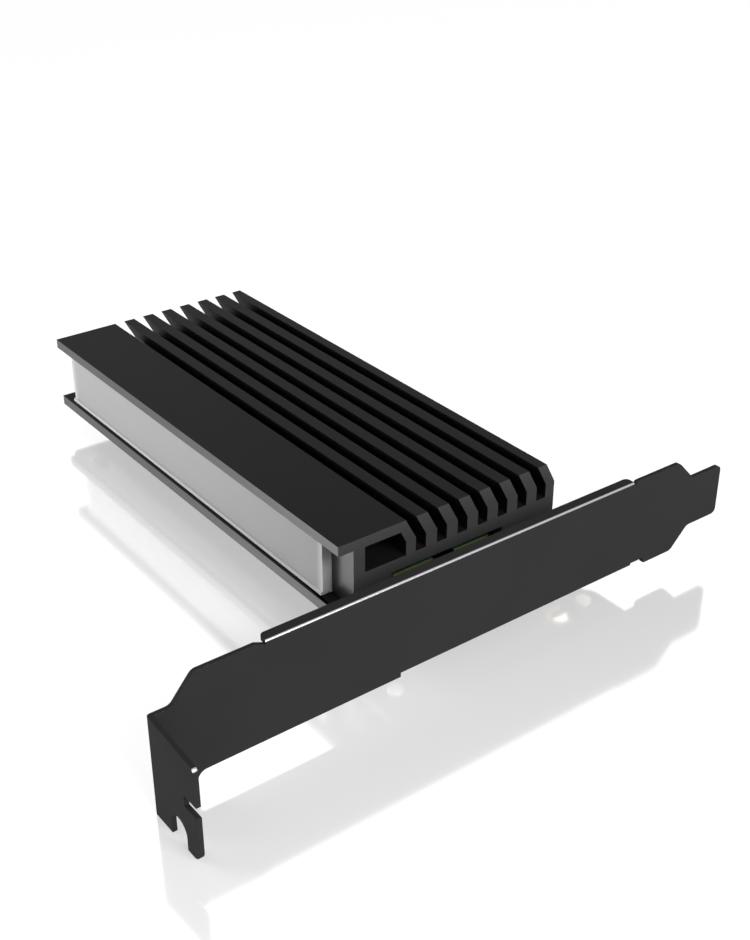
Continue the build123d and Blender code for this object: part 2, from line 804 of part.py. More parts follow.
# Screws that hold the board to the bracket's lugs
with BuildPart() as bracket_screws:
    with BuildSketch(Plane.XY.offset(flange_bottom - bracket_screw_tip)):
        with Locations((left_screw_x, screw_line), (right_screw_x, screw_line)):
            Circle(bracket_screw_radius)
    extrude(amount=land_top - flange_bottom + bracket_screw_tip)
    with BuildSketch(Plane.XY.offset(land_top)):
        with Locations((left_screw_x, screw_line), (right_screw_x, screw_line)):
            Circle(bracket_screw_head_radius)
    extrude(amount=bracket_screw_head_height)
    chamfer(bracket_screws.faces().group_by(Axis.Z)[-1].edges(), length=head_bevel)
bracket_screws.part.label = "bracket_screws"
export_step(bracket_screws.part, "parts/bracket_screws.step")
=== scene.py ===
"""Looks of an adapter card that carries a solid-state module under a finned heatsink."""

import logging
import math
from dataclasses import dataclass
from enum import Enum
from typing import Any

import bpy
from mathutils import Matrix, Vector


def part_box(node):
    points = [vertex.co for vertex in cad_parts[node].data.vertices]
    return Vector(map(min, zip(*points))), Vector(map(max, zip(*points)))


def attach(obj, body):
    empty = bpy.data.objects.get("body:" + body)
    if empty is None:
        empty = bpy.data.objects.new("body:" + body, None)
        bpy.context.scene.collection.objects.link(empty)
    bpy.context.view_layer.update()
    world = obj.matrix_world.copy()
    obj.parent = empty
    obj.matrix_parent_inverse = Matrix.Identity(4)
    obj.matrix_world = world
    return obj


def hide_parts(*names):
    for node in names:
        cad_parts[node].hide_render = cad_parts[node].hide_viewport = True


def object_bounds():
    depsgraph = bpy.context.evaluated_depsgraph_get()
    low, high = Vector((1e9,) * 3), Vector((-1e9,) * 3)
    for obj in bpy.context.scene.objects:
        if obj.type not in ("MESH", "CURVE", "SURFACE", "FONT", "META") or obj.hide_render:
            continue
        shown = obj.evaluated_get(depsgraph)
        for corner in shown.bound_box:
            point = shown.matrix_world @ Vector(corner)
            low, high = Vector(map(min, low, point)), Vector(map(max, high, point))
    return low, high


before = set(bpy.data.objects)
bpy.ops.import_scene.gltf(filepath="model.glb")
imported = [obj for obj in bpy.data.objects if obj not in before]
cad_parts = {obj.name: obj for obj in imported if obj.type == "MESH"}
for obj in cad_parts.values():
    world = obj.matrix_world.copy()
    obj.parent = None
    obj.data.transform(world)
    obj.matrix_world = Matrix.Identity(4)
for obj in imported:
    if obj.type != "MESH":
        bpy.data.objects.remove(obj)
cad_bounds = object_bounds()

MM = 0.001
PER_METRE = 1000.0
ROOT = "root"
COLOUR_MIX = {"data_type": "RGBA"}
FLAT_CELLS = {"voronoi_dimensions": "2D"}
MULTIPLY = {"operation": "MULTIPLY"}
MULTIPLY_ADD = {"operation": "MULTIPLY_ADD"}
SUBTRACT = {"operation": "SUBTRACT"}
MAXIMUM = {"operation": "MAXIMUM"}
ABSOLUTE = {"operation": "ABSOLUTE"}
SINE = {"operation": "SINE"}
GREATER_THAN = {"operation": "GREATER_THAN"}
LESS_THAN = {"operation": "LESS_THAN"}
LAMP_TARGET = (-0.04, 0.0, 0.005)
PHOTO_HEIGHT = 940
WELD_MM = 0.001
FLAT_ANGLE = 0.2
BEVEL_SEGMENTS = 2
FLAT_FACE_WEIGHT = 80

log = logging.getLogger("adapter card")


def linear(colour: str) -> tuple[float, float, float, float]:
    """Turn a written sRGB colour into the linear values that a shader takes.

    Args:
        colour: The colour as "#rrggbb".

    Returns:
        Linear red, green and blue, and an alpha of 1.
    """
    values = []
    for start in (1, 3, 5):
        share = int(colour[start : start + 2], 16) / 255
        values.append(share / 12.92 if share <= 0.04045 else ((share + 0.055) / 1.055) ** 2.4)
    return values[0], values[1], values[2], 1.0


class Axis(Enum):
    """The card's three directions."""

    INSERTION = 0
    LENGTH = 1
    HEIGHT = 2


class Graph:
    """A node tree while it is being put together."""

    def __init__(self, tree: bpy.types.NodeTree) -> None:
        """Take over a tree and empty it.

        Args:
            tree: The node tree of a material or of the surroundings.
        """
        self.tree = tree
        tree.nodes.clear()

    def add(
        self,
        kind: str,
        settings: dict[str, Any] | None = None,
        inputs: dict[str | int, Any] | None = None,
    ) -> bpy.types.Node:
        """Add one node with its settings, its values and the links into it.

        Args:
            kind: Blender's name of the node's type.
            settings: Properties of the node, by name.
            inputs: For an input, by name or number, its value, or the socket or the node that feeds it.

        Returns:
            The new node.
        """
        node = self.tree.nodes.new(kind)
        for name, value in (settings or {}).items():
            setattr(node, name, value)
        for name, value in (inputs or {}).items():
            if isinstance(value, bpy.types.Node):
                value = next(socket for socket in value.outputs if socket.enabled)
            if isinstance(value, bpy.types.NodeSocket):
                self.tree.links.new(value, node.inputs[name])
            else:
                node.inputs[name].default_value = value
        return node


class Surface(Graph):
    """A material's node tree, which works in millimetres."""

    def __init__(self, name: str) -> None:
        """Start a material.

        Args:
            name: The material's name.
        """
        self.material = bpy.data.materials.new(name)
        self.material.use_nodes = True
        super().__init__(self.material.node_tree)
        coordinates = self.add("ShaderNodeTexCoord")
        self.normal = coordinates.outputs["Normal"]
        self.place = self.add(
            "ShaderNodeMapping", {}, {"Vector": coordinates.outputs["Object"], "Scale": (PER_METRE,) * 3}
        )
        self.split = self.add("ShaderNodeSeparateXYZ", {}, {0: self.place})

    def grains(
        self, size_mm: float, stretch: tuple[float, float, float] = (1, 1, 1), detail: float = 2
    ) -> bpy.types.Node:
        """Scatter grains of a real size.

        Args:
            size_mm: A grain's width.
            stretch: How many times longer a grain is along each axis.
            detail: How much finer texture each grain holds.

        Returns:
            The node that gives their height, from 0 to 1.
        """
        scale = tuple(1 / (size_mm * times) for times in stretch)
        fitted = self.add("ShaderNodeMapping", {}, {"Vector": self.place, "Scale": scale})
        inputs = {"Vector": fitted, "Scale": 1.0, "Detail": detail, "Roughness": 0.6}
        return self.add("ShaderNodeTexNoise", {}, inputs)

    def facing(self, axis: Axis, limit: float) -> bpy.types.Node:
        """Mark the faces that look along an axis, either way.

        Args:
            axis: The axis.
            limit: How closely a face's normal follows it, up to 1.

        Returns:
            The node that gives 1 on those faces and 0 elsewhere.
        """
        parts = self.add("ShaderNodeSeparateXYZ", {}, {0: self.normal})
        size = self.add("ShaderNodeMath", ABSOLUTE, {0: parts.outputs[axis.value]})
        return self.add("ShaderNodeMath", GREATER_THAN, {0: size, 1: limit})

    def finish(self, inputs: dict[str, Any]) -> bpy.types.Material:
        """Put the shader and the output in place.

        Args:
            inputs: The shader's values and links, by name.

        Returns:
            The finished material.
        """
        shader = self.add("ShaderNodeBsdfPrincipled", {}, inputs)
        self.add("ShaderNodeOutputMaterial", {}, {"Surface": shader})
        return self.material


@dataclass(frozen=True)
class AnodisedExtrusion:
    """Aluminium pushed through a die, sawn to length, etched and dyed black in its anodising."""

    name: str = "Black anodised aluminium extrusion"
    skin: str = "#171718"
    skin_light: str = "#1c1c1d"
    # The cut metal's greyer tone, lightened further with painted light on the sawn ends.
    sawn: str = "#4b4b4c"
    roughness: float = 0.46
    side_roughness: float = 0.26
    specular: float = 0.045
    side_specular: float = 0.5
    die_line_mm: float = 0.4
    die_line_stretch: float = 150.0
    etch_mm: float = 0.5
    etch_share: float = 0.35
    saw_pitch_mm: float = 0.55
    saw_radius_mm: float = 90.0
    wander_mm: float = 1.6
    wander_size_mm: float = 3.0
    cloud_mm: float = 22.0
    cloud_stretch: float = 2.5
    end_limit: float = 0.9
    side_limit: float = 0.95
    roughness_spread: float = 0.12
    relief_mm: float = 0.01

    def build(self) -> bpy.types.Material:
        """Make the material.

        Returns:
            The material.
        """
        surface = Surface(self.name)
        # The die leaves straight lines along the section, which the dyed skin
        # keeps as faint streaks in its sheen. Real ones are some 0.05 mm wide,
        # and are drawn coarser here so that they show.
        streaks = surface.grains(self.die_line_mm, (1, self.die_line_stretch, 1), 3)
        # The etch before the dye gives an even matte grain, drawn coarser too.
        etch = surface.grains(self.etch_mm)
        skin_relief = surface.add("ShaderNodeMix", {}, {0: self.etch_share, 2: streaks, 3: etch})
        # A saw cuts the ends square and leaves arcs about its own middle there.
        # The cut metal is coarser, so it takes the dye a shade greyer, and painted
        # light lightens the ends further against the bracket's shade.
        sawn = surface.facing(Axis.LENGTH, self.end_limit)
        offset = (self.saw_radius_mm, 0, self.saw_radius_mm)
        from_saw = surface.add(
            "ShaderNodeMapping", {}, {"Vector": surface.place, "Location": offset, "Scale": (1, 0, 1)}
        )
        reach = surface.add("ShaderNodeVectorMath", {"operation": "LENGTH"}, {0: from_saw})
        wander = surface.grains(self.wander_size_mm)
        uneven = surface.add(
            "ShaderNodeMath",
            MULTIPLY_ADD,
            {0: wander, 1: self.wander_mm, 2: reach.outputs["Value"]},
        )
        turns = surface.add("ShaderNodeMath", MULTIPLY, {0: uneven, 1: math.tau / self.saw_pitch_mm})
        wave = surface.add("ShaderNodeMath", SINE, {0: turns})
        arcs = surface.add("ShaderNodeMapRange", {}, {"Value": wave, "From Min": -1.0})
        relief = surface.add("ShaderNodeMix", {}, {0: sawn, 2: skin_relief, 3: arcs})
        # The dye bath leaves the skin a little lighter in wide soft clouds.
        clouds = surface.grains(self.cloud_mm, (1, self.cloud_stretch, 1))
        skin = surface.add(
            "ShaderNodeMix", COLOUR_MIX, {0: clouds, 6: linear(self.skin), 7: linear(self.skin_light)}
        )
        colour = surface.add("ShaderNodeMix", COLOUR_MIX, {0: sawn, 6: skin, 7: linear(self.sawn)})
        # The lips' sides are trimmed by a cutter, so they are smoother and
        # shine where the top stays matte.
        sides = surface.facing(Axis.INSERTION, self.side_limit)
        level = surface.add("ShaderNodeMix", {}, {0: sides, 2: self.specular, 3: self.side_specular})
        plain = surface.add("ShaderNodeMix", {}, {0: sides, 2: self.roughness, 3: self.side_roughness})
        rough = surface.add(
            "ShaderNodeMath",
            MULTIPLY_ADD,
            {0: relief, 1: self.roughness_spread, 2: plain},
        )
        bump = surface.add("ShaderNodeBump", {}, {"Height": relief, "Distance": self.relief_mm * MM})
        inputs = {"Base Color": colour, "Roughness": rough, "Normal": bump}
        return surface.finish({**inputs, "Specular IOR Level": level})


@dataclass(frozen=True)
class PowderCoat:
    """Polyester powder baked onto folded steel sheet."""

    name: str = "Satin black powder coat on steel"
    colour: str = "#2c2c2d"
    colour_light: str = "#303031"
    # Colour of the painted highlight along the lip's fold.
    painted_fold_highlight: str = "#b4b4b4"
    roughness: float = 0.5
    fold_roughness: float = 0.2
    specular: float = 0.01
    peel_mm: float = 0.9
    peel_depth_mm: float = 0.006
    speck_mm: float = 0.35
    cloud_mm: float = 20.0
    roughness_spread: float = 0.08
    fold_from: float = 0.93
    fold_to: float = 0.985

    def build(self) -> bpy.types.Material:
        """Make the material.

        Returns:
            The material.
        """
        surface = Surface(self.name)
        # The powder melts into a satin film with shallow round waves, an
        # orange peel that softens each reflection. Its finer specks are
        # 0.1 mm on a real one, and are drawn coarser here so that they show.
        peel = surface.grains(self.peel_mm, detail=1)
        specks = surface.grains(self.speck_mm)
        clouds = surface.grains(self.cloud_mm)
        film = surface.add(
            "ShaderNodeMix",
            COLOUR_MIX,
            {0: clouds, 6: linear(self.colour), 7: linear(self.colour_light)},
        )
        # A painted highlight runs along the lip's fold: the faces that lean halfway
        # between the front and the top get a bright metal colour, as a clean narrow line.
        slope = math.sqrt(0.5)
        lean = surface.add(
            "ShaderNodeVectorMath",
            {"operation": "DOT_PRODUCT"},
            {0: surface.normal, 1: (0, -slope, slope)},
        )
        painted_fold_highlight = surface.add(
            "ShaderNodeMapRange",
            {},
            {"Value": lean.outputs["Value"], "From Min": self.fold_from, "From Max": self.fold_to},
        )
        colour = surface.add("ShaderNodeMix", COLOUR_MIX, {0: painted_fold_highlight, 6: film, 7: linear(self.painted_fold_highlight)})
        plain = surface.add("ShaderNodeMix", {}, {0: painted_fold_highlight, 2: self.roughness, 3: self.fold_roughness})
        rough = surface.add(
            "ShaderNodeMath",
            MULTIPLY_ADD,
            {0: specks, 1: self.roughness_spread, 2: plain},
        )
        peeling = surface.add("ShaderNodeMath", SUBTRACT, {0: 1.0, 1: painted_fold_highlight})
        bump = surface.add(
            "ShaderNodeBump",
            {},
            {"Height": peel, "Strength": peeling, "Distance": self.peel_depth_mm * MM},
        )
        inputs = {"Base Color": colour, "Roughness": rough, "Metallic": painted_fold_highlight, "Normal": bump}
        return surface.finish({**inputs, "Specular IOR Level": self.specular})


@dataclass(frozen=True)
class SolderMask:
    """Lacquer over a copper-clad board of glass epoxy, whose cut edges stay bare."""

    name: str
    colour: str
    over_copper: str
    laminate: str
    laminate_dark: str
    roughness: float = 0.28
    specular: float = 0.35
    track_pitch_mm: float = 0.9
    bundle_mm: float = 8.0
    via_pitch_mm: float = 3.6
    via_radius_mm: float = 0.3
    layer_mm: float = 0.27
    copper_depth_mm: float = 0.02
    face_limit: float = 0.5
    bundle_disorder: float = 0.7
    turned_above: float = 0.5
    routed_above: float = 0.45
    ridge_crest: float = 0.5
    via_disorder: float = 0.55
    fibre_mm: float = 0.5
    fibre_flatness: float = 0.3
    edge_roughness: float = 0.7

    def build(self) -> bpy.types.Material:
        """Make the material.

        Returns:
            The material.
        """
        surface = Surface(self.name)
        face = surface.facing(Axis.HEIGHT, self.face_limit)
        # Tracks under the lacquer stand out as faint ridges of a lighter
        # shade, in bundles that turn from block to block. Real ones are
        # 0.15 mm wide, and are drawn coarser here so that they show.
        blocks = surface.add(
            "ShaderNodeTexVoronoi",
            {**FLAT_CELLS, "distance": "CHEBYCHEV"},
            {
                "Vector": surface.place,
                "Scale": 1 / self.bundle_mm,
                "Randomness": self.bundle_disorder,
            },
        )
        choice = surface.add("ShaderNodeSeparateColor", {}, {0: blocks.outputs["Color"]})
        turned = surface.add(
            "ShaderNodeMath",
            GREATER_THAN,
            {0: choice.outputs[0], 1: self.turned_above},
        )
        across = surface.add(
            "ShaderNodeMix", {}, {0: turned, 2: surface.split.outputs[0], 3: surface.split.outputs[1]}
        )
        phase = surface.add("ShaderNodeMath", MULTIPLY, {0: across, 1: math.tau / self.track_pitch_mm})
        wave = surface.add("ShaderNodeMath", SINE, {0: phase})
        crests = {"Value": wave, "From Min": 0.0, "From Max": self.ridge_crest}
        ridges = surface.add("ShaderNodeMapRange", {}, crests)
        routed = surface.add(
            "ShaderNodeMath",
            GREATER_THAN,
            {0: choice.outputs[1], 1: self.routed_above},
        )
        tracks = surface.add("ShaderNodeMath", MULTIPLY, {0: ridges, 1: routed})
        # Each via is a round plated hole that the lacquer closes.
        dots = surface.add(
            "ShaderNodeTexVoronoi",
            FLAT_CELLS,
            {
                "Vector": surface.place,
                "Scale": 1 / self.via_pitch_mm,
                "Randomness": self.via_disorder,
            },
        )
        vias = surface.add(
            "ShaderNodeMath",
            LESS_THAN,
            {0: dots.outputs["Distance"], 1: self.via_radius_mm / self.via_pitch_mm},
        )
        copper = surface.add("ShaderNodeMath", MAXIMUM, {0: tracks, 1: vias})
        relief = surface.add("ShaderNodeMath", MULTIPLY, {0: copper, 1: face})
        # A routed edge shows the cloth and resin in thin dull layers.
        turns = surface.add(
            "ShaderNodeMath",
            MULTIPLY,
            {0: surface.split.outputs[2], 1: math.tau / self.layer_mm},
        )
        layers = surface.add("ShaderNodeMath", SINE, {0: turns})
        fibres = surface.grains(self.fibre_mm, (1, 1, self.fibre_flatness))
        cloth = surface.add("ShaderNodeMath", MULTIPLY, {0: layers, 1: fibres})
        edge = surface.add(
            "ShaderNodeMix",
            COLOUR_MIX,
            {0: cloth, 6: linear(self.laminate), 7: linear(self.laminate_dark)},
        )
        lacquer = surface.add(
            "ShaderNodeMix",
            COLOUR_MIX,
            {0: relief, 6: linear(self.colour), 7: linear(self.over_copper)},
        )
        colour = surface.add("ShaderNodeMix", COLOUR_MIX, {0: face, 6: edge, 7: lacquer})
        dull = {0: face, 2: self.edge_roughness, 3: self.roughness}
        rough = surface.add("ShaderNodeMix", {}, dull)
        bump = surface.add(
            "ShaderNodeBump", {}, {"Height": relief, "Distance": self.copper_depth_mm * MM}
        )
        inputs = {"Base Color": colour, "Roughness": rough, "Normal": bump}
        return surface.finish({**inputs, "Specular IOR Level": self.specular})


@dataclass(frozen=True)
class PlatedMetal:
    """A thin metal skin over another metal, with the fine lines of how it was made."""

    name: str
    colour: str
    dull: str
    roughness: float
    grain_mm: float = 0.5
    stretch: tuple[float, float, float] = (1, 1, 1)
    hole_pitch_mm: float = 0.0
    hole_radius_mm: float = 0.18
    hole: str = "#3a2c10"
    hole_disorder: float = 0.08
    patch_mm: float = 2.5
    brighter: float = 0.05
    duller: float = 0.1
    depth_mm: float = 0.004

    def build(self) -> bpy.types.Material:
        """Make the material.

        Returns:
            The material.
        """
        surface = Surface(self.name)
        # A plated skin is bright metal that copies the lines underneath and
        # dulls in patches where it was touched. The lines are 0.02 mm wide
        # on a real one, and are drawn coarser here so that they show.
        lines = surface.grains(self.grain_mm, self.stretch, 3)
        patches = surface.grains(self.patch_mm)
        colour = surface.add(
            "ShaderNodeMix", COLOUR_MIX, {0: patches, 6: linear(self.colour), 7: linear(self.dull)}
        )
        height = lines
        if self.hole_pitch_mm:
            # Plated holes in rows carry the heat down, and show as dark dots.
            dots = surface.add(
                "ShaderNodeTexVoronoi",
                FLAT_CELLS,
                {
                    "Vector": surface.place,
                    "Scale": 1 / self.hole_pitch_mm,
                    "Randomness": self.hole_disorder,
                },
            )
            holes = surface.add(
                "ShaderNodeMath",
                LESS_THAN,
                {0: dots.outputs["Distance"], 1: self.hole_radius_mm / self.hole_pitch_mm},
            )
            holed = {0: holes, 6: colour, 7: linear(self.hole)}
            colour = surface.add("ShaderNodeMix", COLOUR_MIX, holed)
            height = surface.add("ShaderNodeMath", SUBTRACT, {0: lines, 1: holes})
        rough = surface.add(
            "ShaderNodeMapRange",
            {},
            {
                "Value": lines,
                "To Min": self.roughness - self.brighter,
                "To Max": self.roughness + self.duller,
            },
        )
        bump = surface.add("ShaderNodeBump", {}, {"Height": height, "Distance": self.depth_mm * MM})
        inputs = {"Base Color": colour, "Roughness": rough, "Normal": bump}
        return surface.finish({**inputs, "Metallic": 1.0})


@dataclass(frozen=True)
class MouldedPart:
    """A moulded, cast or pressed part with an even fine texture."""

    name: str
    colour: str
    speck: str
    roughness: float
    speck_mm: float = 0.3
    depth_mm: float = 0.006
    specular: float = 0.5
    cloud_mm: float = 6.0
    smoother: float = 0.06
    rougher: float = 0.08

    def build(self) -> bpy.types.Material:
        """Make the material.

        Returns:
            The material.
        """
        surface = Surface(self.name)
        # A spark-eroded mould, or a filler in the resin, gives an even matte
        # texture with small specks, drawn as coarse as it needs to show.
        texture = surface.grains(self.speck_mm)
        clouds = surface.grains(self.cloud_mm)
        share = surface.add("ShaderNodeMath", MULTIPLY, {0: texture, 1: clouds})
        colour = surface.add(
            "ShaderNodeMix", COLOUR_MIX, {0: share, 6: linear(self.colour), 7: linear(self.speck)}
        )
        rough = surface.add(
            "ShaderNodeMapRange",
            {},
            {
                "Value": texture,
                "To Min": self.roughness - self.smoother,
                "To Max": self.roughness + self.rougher,
            },
        )
        bump = surface.add("ShaderNodeBump", {}, {"Height": texture, "Distance": self.depth_mm * MM})
        inputs = {"Base Color": colour, "Roughness": rough, "Normal": bump}
        return surface.finish({**inputs, "Specular IOR Level": self.specular})


@dataclass(frozen=True)
class CappedChip:
    """A small soldered part: a body of ceramic or resin between two tinned ends."""

    name: str
    body: str
    body_light: str
    cap: str
    ends: Axis
    roughness: float = 0.4
    end_limit: float = 0.8
    speck_mm: float = 0.15
    roughness_spread: float = 0.08
    depth_mm: float = 0.006

    def build(self) -> bpy.types.Material:
        """Make the material.

        Returns:
            The material.
        """
        surface = Surface(self.name)
        # Fired ceramic and cast resin are fine and even, so the body looks
        # like a matte pebble and its tinned ends like dull silver.
        caps = surface.facing(self.ends, self.end_limit)
        specks = surface.grains(self.speck_mm)
        body = surface.add(
            "ShaderNodeMix", COLOUR_MIX, {0: specks, 6: linear(self.body), 7: linear(self.body_light)}
        )
        colour = surface.add("ShaderNodeMix", COLOUR_MIX, {0: caps, 6: body, 7: linear(self.cap)})
        rough = surface.add(
            "ShaderNodeMapRange",
            {},
            {
                "Value": specks,
                "To Min": self.roughness - self.roughness_spread,
                "To Max": self.roughness + self.roughness_spread,
            },
        )
        bump = surface.add("ShaderNodeBump", {}, {"Height": specks, "Distance": self.depth_mm * MM})
        inputs = {"Base Color": colour, "Roughness": rough, "Normal": bump}
        return surface.finish({**inputs, "Metallic": caps})


@dataclass(frozen=True)
class FrostedAcrylic:
    """Clear acrylic strip with a frosted face and polished ends."""

    name: str = "Frosted clear acrylic"
    colour: str = "#c0c0c0"
    colour_edges: str = "#f4f4f4"
    end_mm: float = 1.8
    foot_mm: float = 0.72
    roughness: float = 0.42
    cut_roughness: float = 0.14
    frost_mm: float = 0.35
    frost_depth_mm: float = 0.01
    transmission: float = 0.45
    refraction: float = 1.49
    cut_limit: float = 0.9
    roughness_spread: float = 0.1

    def build(self, low: Vector, high: Vector) -> bpy.types.Material:
        """Make the material.

        Args:
            low: The strip's lowest corner, in metres.
            high: The strip's highest corner, in metres.

        Returns:
            The material.
        """
        surface = Surface(self.name)
        # Frosting scatters the light inside the strip, so it looks like pale
        # ice that lets the dark channel through. Light that travels along
        # the strip leaves at its ends and its foot, which look brighter.
        frost = surface.grains(self.frost_mm)
        middle = (low.y + high.y) / 2 * PER_METRE
        half = (high.y - low.y) / 2 * PER_METRE
        offset = surface.add("ShaderNodeMath", SUBTRACT, {0: surface.split.outputs[1], 1: middle})
        reach = surface.add("ShaderNodeMath", ABSOLUTE, {0: offset})
        ends = surface.add(
            "ShaderNodeMapRange",
            {},
            {"Value": reach, "From Min": half - self.end_mm, "From Max": half},
        )
        foot_top = low.z * PER_METRE + self.foot_mm
        foot = surface.add("ShaderNodeMath", LESS_THAN, {0: surface.split.outputs[2], 1: foot_top})
        edges = surface.add("ShaderNodeMath", MAXIMUM, {0: ends, 1: foot})
        colour = surface.add(
            "ShaderNodeMix",
            COLOUR_MIX,
            {0: edges, 6: linear(self.colour), 7: linear(self.colour_edges)},
        )
        # The cut faces at both ends are polished, and look like clear glass.
        cut = surface.facing(Axis.LENGTH, self.cut_limit)
        plain = surface.add("ShaderNodeMix", {}, {0: cut, 2: self.roughness, 3: self.cut_roughness})
        rough = surface.add(
            "ShaderNodeMath",
            MULTIPLY_ADD,
            {0: frost, 1: self.roughness_spread, 2: plain},
        )
        depth = self.frost_depth_mm * MM
        bump = surface.add("ShaderNodeBump", {}, {"Height": frost, "Distance": depth})
        inputs = {"Base Color": colour, "Roughness": rough, "Normal": bump}
        constants = {"Transmission Weight": self.transmission, "IOR": self.refraction}
        return surface.finish({**inputs, **constants})


def activate(piece: bpy.types.Object) -> None:
    """Deselect everything, then select one piece and make it the active one.

    Args:
        piece: The piece to select.
    """
    bpy.ops.object.select_all(action="DESELECT")
    piece.hide_set(False)
    piece.select_set(True)
    bpy.context.view_layer.objects.active = piece


def apply_modifier(piece: bpy.types.Object, kind: str, settings: dict[str, Any]) -> None:
    """Add a modifier to a piece and apply it.

    Args:
        piece: The piece to change.
        kind: Blender's name of the modifier's type.
        settings: The modifier's properties, by name.
    """
    activate(piece)
    bpy.ops.object.modifier_add(type=kind)
    modifier = piece.modifiers[-1]
    for name, value in settings.items():
        setattr(modifier, name, value)
    bpy.ops.object.modifier_apply(modifier=modifier.name)


def merged_copy(node: str, name: str) -> bpy.types.Object:
    """Copy a CAD node's mesh and join its loose triangles into whole faces.

    Args:
        node: The CAD node's name.
        name: The copy's name.

    Returns:
        The copy, whose object sits at the origin as the node's does.
    """
    piece = bpy.data.objects.new(name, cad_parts[node].data.copy())
    bpy.context.scene.collection.objects.link(piece)
    activate(piece)
    bpy.ops.object.mode_set(mode="EDIT")
    bpy.ops.mesh.select_all(action="SELECT")
    bpy.ops.mesh.remove_doubles(threshold=WELD_MM * MM)
    bpy.ops.mesh.dissolve_limited(angle_limit=math.radians(FLAT_ANGLE))
    bpy.ops.object.mode_set(mode="OBJECT")
    return piece


def soften_edges(piece: bpy.types.Object, width_mm: float, angle: float) -> None:
    """Round a piece's sharp edges, and keep its flat faces flat to the eye.

    Args:
        piece: The piece to change.
        width_mm: The rounding's width.
        angle: Edges sharper than this many degrees are rounded.
    """
    limit = math.radians(angle)
    settings = {"width": width_mm * MM, "segments": BEVEL_SEGMENTS}
    apply_modifier(piece, "BEVEL", {**settings, "limit_method": "ANGLE", "angle_limit": limit})
    bpy.ops.object.shade_smooth_by_angle(angle=limit)
    apply_modifier(piece, "WEIGHTED_NORMAL", {"keep_sharp": True, "weight": FLAT_FACE_WEIGHT})


def dress(piece: bpy.types.Object, material: bpy.types.Material) -> None:
    """Give a piece one material all over."""
    piece.data.materials.clear()
    piece.data.materials.append(material)


def dress_node(node: str, material: bpy.types.Material) -> None:
    """Give every material slot of a CAD node one material.

    Args:
        node: The CAD node's name.
        material: The material.
    """
    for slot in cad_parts[node].material_slots:
        slot.material = material
    log.info("%s wears %s", node, material.name)


def stand_in(piece: bpy.types.Object, node: str) -> None:
    """Let a piece ride on the card and stand for a CAD node.

    Args:
        piece: The piece.
        node: The CAD node that it replaces.
    """
    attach(piece, ROOT)
    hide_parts(node)
    log.info("%s stands for %s", piece.name, node)


def turn_profile(
    name: str, foot: Vector, profile: list[tuple[float, float]], sides: int
) -> bpy.types.Object:
    """Raise a round piece from a circle, one ring after another.

    Args:
        name: The piece's name.
        foot: The point on the upright axis that heights are counted from, in metres.
        profile: Radius and height of each ring, in metres, upwards.
        sides: The number of corners in a ring.

    Returns:
        The closed piece.
    """
    bpy.ops.object.select_all(action="DESELECT")
    start = foot + Vector((0, 0, profile[0][1]))
    bpy.ops.mesh.primitive_circle_add(
        vertices=sides, radius=profile[0][0], fill_type="NGON", location=start
    )
    piece = bpy.context.active_object
    piece.name = name
    bpy.ops.object.transform_apply(location=True, rotation=True, scale=True)
    bpy.ops.object.mode_set(mode="EDIT")
    bpy.ops.mesh.select_all(action="SELECT")
    for (radius, height), (next_radius, next_height) in zip(profile, profile[1:]):
        rise = {"value": (0, 0, next_height - height)}
        bpy.ops.mesh.extrude_region_move(TRANSFORM_OT_translate=rise)
        share = next_radius / radius
        middle = foot + Vector((0, 0, next_height))
        bpy.ops.transform.resize(value=(share, share, 1), center_override=middle)
    bpy.ops.mesh.select_all(action="SELECT")
    bpy.ops.mesh.normals_make_consistent(inside=False)
    bpy.ops.object.mode_set(mode="OBJECT")
    return piece


